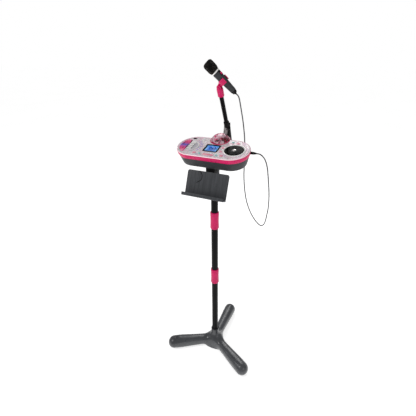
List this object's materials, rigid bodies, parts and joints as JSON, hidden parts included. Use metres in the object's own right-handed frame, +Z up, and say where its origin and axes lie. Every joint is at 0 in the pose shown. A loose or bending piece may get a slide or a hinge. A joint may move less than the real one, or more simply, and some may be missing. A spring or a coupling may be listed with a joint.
{
  "type": "toy karaoke stand with keyboard console",
  "caption": "Child's karaoke stand: console with small keyboard, screen and turning disc, boom-held corded microphone and tilting device holder on a three-legged floor pole.",
  "frame": {"origin": "on the floor, on the pole's axis, in the middle of the base's underside", "axes": "+Z up along the pole, -Y towards the child who plays, +X to that child's right"},
  "size_m": [0.3954, 0.35, 1.2354],
  "materials": {
    "base_grey": "moulded, glossy",
    "black_tube": "satin black",
    "magenta": "moulded, glossy",
    "dark_grey": "fine moulded texture",
    "pale_pink": "glossy",
    "panel_silver": "silver with glitter",
    "white_plastic": "glossy",
    "silver_plastic": "metallised",
    "button_pink": "glossy",
    "button_teal": "glossy",
    "pad_pink": "glossy, violet in the middle",
    "black_gloss": "glossy",
    "screen_blue": "lit display",
    "clear_window": "clear",
    "dome_pink": "clear pink, faceted",
    "ball_facets": "mirror facets",
    "rubber_black": "matte",
    "rubber_pale": "matte",
    "steel": "zinc plated",
    "board_green": "solder mask",
    "cell_wrap": "printed sleeve, plain",
    "grille_black": "woven wire",
    "cord_grey": "satin"
  },
  "bodies": {
    "root": {"base_shell": "base_grey", "foot_pads": "rubber_black", "lower_tube": "black_tube", "lower_coupler": "magenta", "middle_tube": "black_tube", "upper_coupler": "magenta", "upper_tube": "black_tube", "console_mount": "dark_grey", "screws": "steel", "lower_housing": "dark_grey", "battery_door": "dark_grey", "batteries": "cell_wrap", "rim_band": "magenta", "edge_trim": "pale_pink", "top_panel": "panel_silver", "main_board": "board_green", "key_membrane": "rubber_pale", "speaker": "rubber_black", "screen_bezel": "black_gloss", "screen_display": "screen_blue", "screen_window": "clear_window", "disc_tray": "white_plastic", "key_bed": "silver_plastic", "dome_seat": "magenta", "dome_lens": "dome_pink", "ball_motor": "steel", "arm_bracket": "dark_grey", "boom_tube": "black_tube", "clip_sleeve": "magenta", "hinge_pins": "steel", "holder_bracket": "dark_grey", "plug_jack": "dark_grey", "cord": "cord_grey", "cord_plug": "rubber_black"},
    "mic_holder": {"mic_clip": "magenta", "mic_grille": "grille_black", "mic_ring": "white_plastic", "mic_body": "dark_grey", "mic_tail": "rubber_black", "mic_capsule": "steel"},
    "mic_switch": {"mic_switch": "magenta"},
    "device_holder": {"holder_plate": "dark_grey"},
    "turning_disc": {"disc_platter": "black_gloss", "disc_cap": "silver_plastic"},
    "ball": {"disco_ball": "ball_facets"},
    "slider": {"power_slider": "dark_grey"},
    "front_pink_left": {"front_pink_left": "button_pink"},
    "front_teal_left": {"front_teal_left": "button_teal"},
    "front_bar": {"front_bar": "button_pink"},
    "front_teal_right": {"front_teal_right": "button_teal"},
    "front_pink_right": {"front_pink_right": "button_pink"},
    "side_button_front": {"side_button_front": "button_pink"},
    "side_button_rear": {"side_button_rear": "button_pink"},
    "rear_teal_button": {"rear_teal_button": "button_teal"},
    "rear_pink_button": {"rear_pink_button": "button_pink"},
    "white_key_1": {"white_key_1": "white_plastic"},
    "white_key_2": {"white_key_2": "white_plastic"},
    "white_key_3": {"white_key_3": "white_plastic"},
    "white_key_4": {"white_key_4": "white_plastic"},
    "fan_pad": {"fan_pad": "pad_pink"}
  },
  "joints": [
    {"name": "mic_tilt", "type": "hinge", "parent": "root", "child": "mic_holder", "pos_m": [0, 0.04214, 1.15707], "axis": [0, -0.8862, -0.4633], "range_deg": [-18, 28], "deforming": ["cord"]},
    {"name": "mic_switch_slide", "type": "slide", "parent": "mic_holder", "child": "mic_switch", "axis": [-0.6266, -0.3611, 0.6907], "range_m": [0, 0.005]},
    {"name": "holder_tilt", "type": "hinge", "parent": "root", "child": "device_holder", "pos_m": [0, -0.04262, 0.88855], "axis": [1, 0, 0], "range_deg": [-18, 20]},
    {"name": "disc_spin", "type": "hinge", "parent": "root", "child": "turning_disc", "pos_m": [0.0776, -0.01499, 0.96892], "axis": [0, -0.2453, 0.9694], "continuous": true},
    {"name": "ball_spin", "type": "hinge", "parent": "root", "child": "ball", "pos_m": [0.004, 0.04279, 0.98354], "axis": [0, -0.2453, 0.9694], "continuous": true},
    {"name": "power_slide", "type": "slide", "parent": "root", "child": "slider", "axis": [1, 0, 0], "range_m": [0, 0.0044]},
    {"name": "front_pink_left_press", "type": "slide", "parent": "root", "child": "front_pink_left", "axis": [0, 0.2453, -0.9694], "range_m": [0, 0.0018], "stiffness_N_per_m": 150, "springref_m": -0.0004},
    {"name": "front_teal_left_press", "type": "slide", "parent": "root", "child": "front_teal_left", "axis": [0, 0.2453, -0.9694], "range_m": [0, 0.0018], "stiffness_N_per_m": 150, "springref_m": -0.0004},
    {"name": "front_bar_press", "type": "slide", "parent": "root", "child": "front_bar", "axis": [0, 0.2453, -0.9694], "range_m": [0, 0.0018], "stiffness_N_per_m": 150, "springref_m": -0.0004},
    {"name": "front_teal_right_press", "type": "slide", "parent": "root", "child": "front_teal_right", "axis": [0, 0.2453, -0.9694], "range_m": [0, 0.0018], "stiffness_N_per_m": 150, "springref_m": -0.0004},
    {"name": "front_pink_right_press", "type": "slide", "parent": "root", "child": "front_pink_right", "axis": [0, 0.2453, -0.9694], "range_m": [0, 0.0018], "stiffness_N_per_m": 150, "springref_m": -0.0004},
    {"name": "side_button_front_press", "type": "slide", "parent": "root", "child": "side_button_front", "axis": [0, 0.2453, -0.9694], "range_m": [0, 0.0018], "stiffness_N_per_m": 150, "springref_m": -0.0004},
    {"name": "side_button_rear_press", "type": "slide", "parent": "root", "child": "side_button_rear", "axis": [0, 0.2453, -0.9694], "range_m": [0, 0.0018], "stiffness_N_per_m": 150, "springref_m": -0.0004},
    {"name": "rear_teal_button_press", "type": "slide", "parent": "root", "child": "rear_teal_button", "axis": [0, 0.2453, -0.9694], "range_m": [0, 0.0018], "stiffness_N_per_m": 150, "springref_m": -0.0004},
    {"name": "rear_pink_button_press", "type": "slide", "parent": "root", "child": "rear_pink_button", "axis": [0, 0.2453, -0.9694], "range_m": [0, 0.0018], "stiffness_N_per_m": 150, "springref_m": -0.0004},
    {"name": "white_key_1_press", "type": "slide", "parent": "root", "child": "white_key_1", "axis": [0, 0.2453, -0.9694], "range_m": [0, 0.0018], "stiffness_N_per_m": 150, "springref_m": -0.0004},
    {"name": "white_key_2_press", "type": "slide", "parent": "root", "child": "white_key_2", "axis": [0, 0.2453, -0.9694], "range_m": [0, 0.0018], "stiffness_N_per_m": 150, "springref_m": -0.0004},
    {"name": "white_key_3_press", "type": "slide", "parent": "root", "child": "white_key_3", "axis": [0, 0.2453, -0.9694], "range_m": [0, 0.0018], "stiffness_N_per_m": 150, "springref_m": -0.0004},
    {"name": "white_key_4_press", "type": "slide", "parent": "root", "child": "white_key_4", "axis": [0, 0.2453, -0.9694], "range_m": [0, 0.0018], "stiffness_N_per_m": 150, "springref_m": -0.0004},
    {"name": "fan_pad_press", "type": "slide", "parent": "root", "child": "fan_pad", "axis": [0, 0.2453, -0.9694], "range_m": [0, 0.0018], "stiffness_N_per_m": 250, "springref_m": -0.0004}
  ]
}
